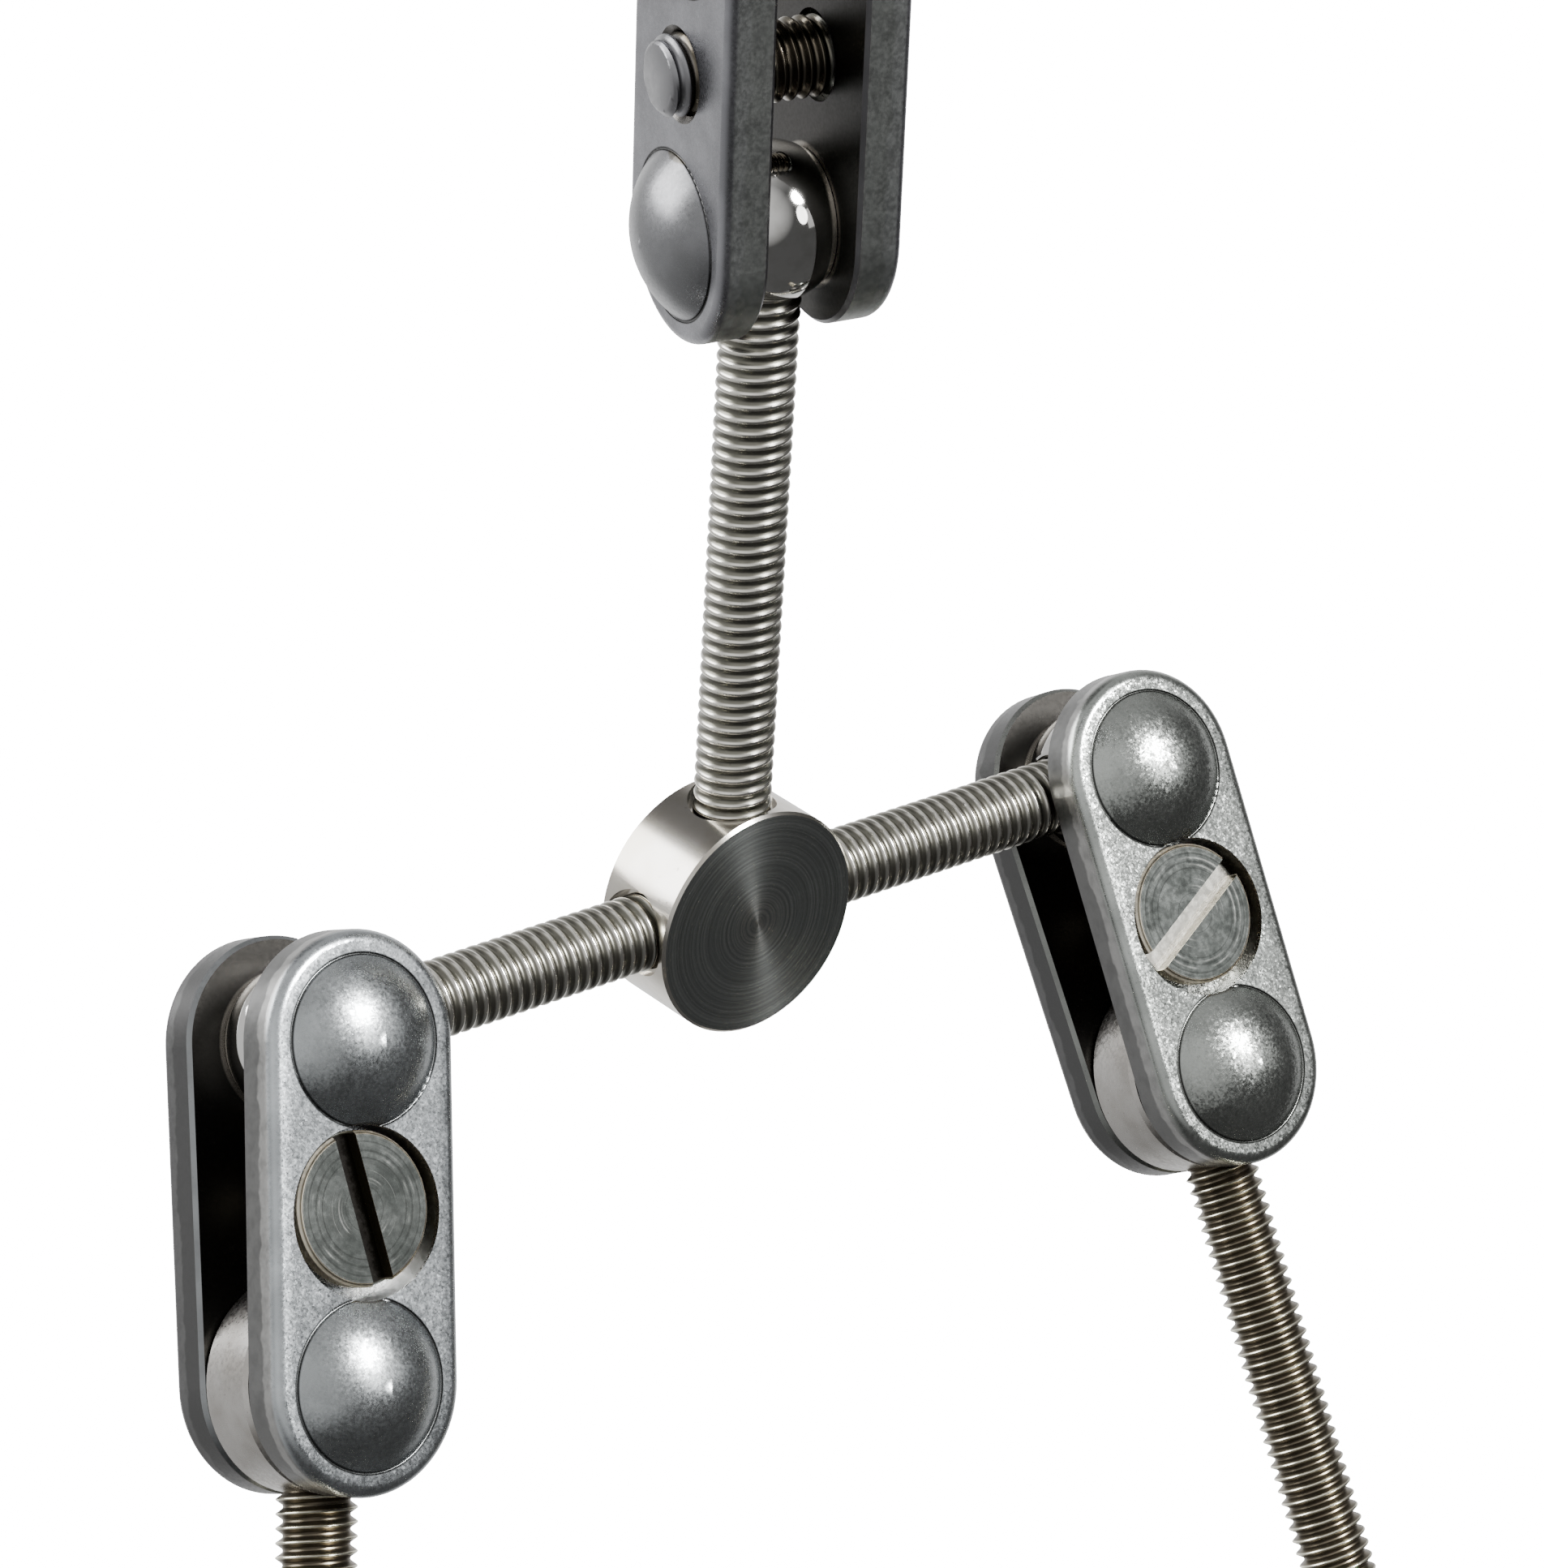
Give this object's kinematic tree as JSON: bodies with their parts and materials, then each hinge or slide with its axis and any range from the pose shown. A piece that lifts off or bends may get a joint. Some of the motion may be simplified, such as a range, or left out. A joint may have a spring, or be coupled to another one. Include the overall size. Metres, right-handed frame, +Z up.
{
  "type": "ball jointed armature hip",
  "caption": "Stop-motion armature hip: a round hub with threaded rods to ball joints, each gripped between domed steel plates drawn together by a slotted screw.",
  "frame": {"origin": "centre of the hub's front face", "axes": "-Y leaves the hub's front face, +Z runs up the spine rod, +X along the right hip rod (the right of someone who looks at the front face)"},
  "size_m": [0.077, 0.0406, 0.1366],
  "materials": {
    "hub_steel": "turned, concentric tool marks, polished rim",
    "ball_chrome": "mirror polished",
    "plate_steel": "tumbled satin with fine sparkle",
    "screw_steel": "nickel plated, turned head",
    "knuckle_steel": "light satin",
    "rod_steel": "threaded stainless, warm grey"
  },
  "bodies": {
    "hub": {"hub": "hub_steel", "top_rod": "rod_steel", "left_rod": "rod_steel", "right_rod": "rod_steel"},
    "left_ball": {"left_ball": "ball_chrome"},
    "left_plates": {"left_head_plate": "plate_steel", "left_tapped_plate": "plate_steel"},
    "left_screw": {"left_screw": "screw_steel"},
    "left_leg": {"left_knuckle": "knuckle_steel", "left_leg_rod": "rod_steel"},
    "right_ball": {"right_ball": "ball_chrome"},
    "right_plates": {"right_head_plate": "plate_steel", "right_tapped_plate": "plate_steel"},
    "right_screw": {"right_screw": "screw_steel"},
    "right_leg": {"right_knuckle": "knuckle_steel", "right_leg_rod": "rod_steel"},
    "spine_lower_ball": {"spine_lower_ball": "ball_chrome"},
    "spine_plates": {"spine_head_plate": "plate_steel", "spine_tapped_plate": "plate_steel"},
    "spine_screw": {"spine_screw": "screw_steel"},
    "spine_upper_ball": {"spine_upper_ball": "ball_chrome"},
    "spine_upper_rod": {"spine_upper_rod": "rod_steel"}
  },
  "joints": [
    {"name": "left_hip_twist", "type": "hinge", "parent": "hub", "child": "left_ball", "pos_m": [-0.02588, 0.0026, 0], "axis": [1, 0, 0], "continuous": true},
    {"name": "left_hip_swing", "type": "hinge", "parent": "left_ball", "child": "left_plates", "pos_m": [-0.02588, 0.0026, 0], "axis": [0.0523, -0.8921, 0.4487], "range_deg": [-100, 35]},
    {"name": "left_screw_turn", "type": "hinge", "parent": "left_plates", "child": "left_screw", "pos_m": [-0.02798, -0.00122, -0.00694], "axis": [0.0581, -0.8818, 0.468], "range_deg": [-90, 90]},
    {"name": "left_leg_swing", "type": "hinge", "parent": "left_plates", "child": "left_leg", "pos_m": [-0.03009, -0.00472, -0.01406], "axis": [0.0523, -0.8921, 0.4487], "range_deg": [-90, 45]},
    {"name": "right_hip_twist", "type": "hinge", "parent": "hub", "child": "right_ball", "pos_m": [0.02588, 0.0026, 0], "axis": [1, 0, 0], "continuous": true},
    {"name": "right_hip_swing", "type": "hinge", "parent": "right_ball", "child": "right_plates", "pos_m": [0.02588, 0.0026, 0], "axis": [-0.0436, -0.8482, 0.5279], "range_deg": [-20, 100]},
    {"name": "right_screw_turn", "type": "hinge", "parent": "right_plates", "child": "right_screw", "pos_m": [0.02596, -0.00189, -0.00686], "axis": [-0.0438, -0.8359, 0.5471], "range_deg": [-90, 90]},
    {"name": "right_leg_swing", "type": "hinge", "parent": "right_plates", "child": "right_leg", "pos_m": [0.02605, -0.00607, -0.01391], "axis": [-0.0436, -0.8482, 0.5279], "range_deg": [-45, 90]},
    {"name": "spine_twist", "type": "hinge", "parent": "hub", "child": "spine_lower_ball", "pos_m": [0, 0.0026, 0.03717], "axis": [0, 0, 1], "continuous": true},
    {"name": "spine_swing", "type": "hinge", "parent": "spine_lower_ball", "child": "spine_plates", "pos_m": [0, 0.0026, 0.03717], "axis": [0.9726, -0.2299, 0.0349], "range_deg": [-75, 75]},
    {"name": "spine_screw_turn", "type": "hinge", "parent": "spine_plates", "child": "spine_screw", "pos_m": [-0.00033, 0.00244, 0.04536], "axis": [0.9726, -0.2299, 0.0349], "range_deg": [-90, 90]},
    {"name": "spine_upper_swing", "type": "hinge", "parent": "spine_plates", "child": "spine_upper_ball", "pos_m": [-0.00066, 0.00229, 0.05355], "axis": [0.9726, -0.2299, 0.0349], "range_deg": [-75, 75]},
    {"name": "spine_upper_twist", "type": "hinge", "parent": "spine_upper_ball", "child": "spine_upper_rod", "pos_m": [-0.00066, 0.00229, 0.05355], "axis": [0, 0, 1], "continuous": true}
  ]
}
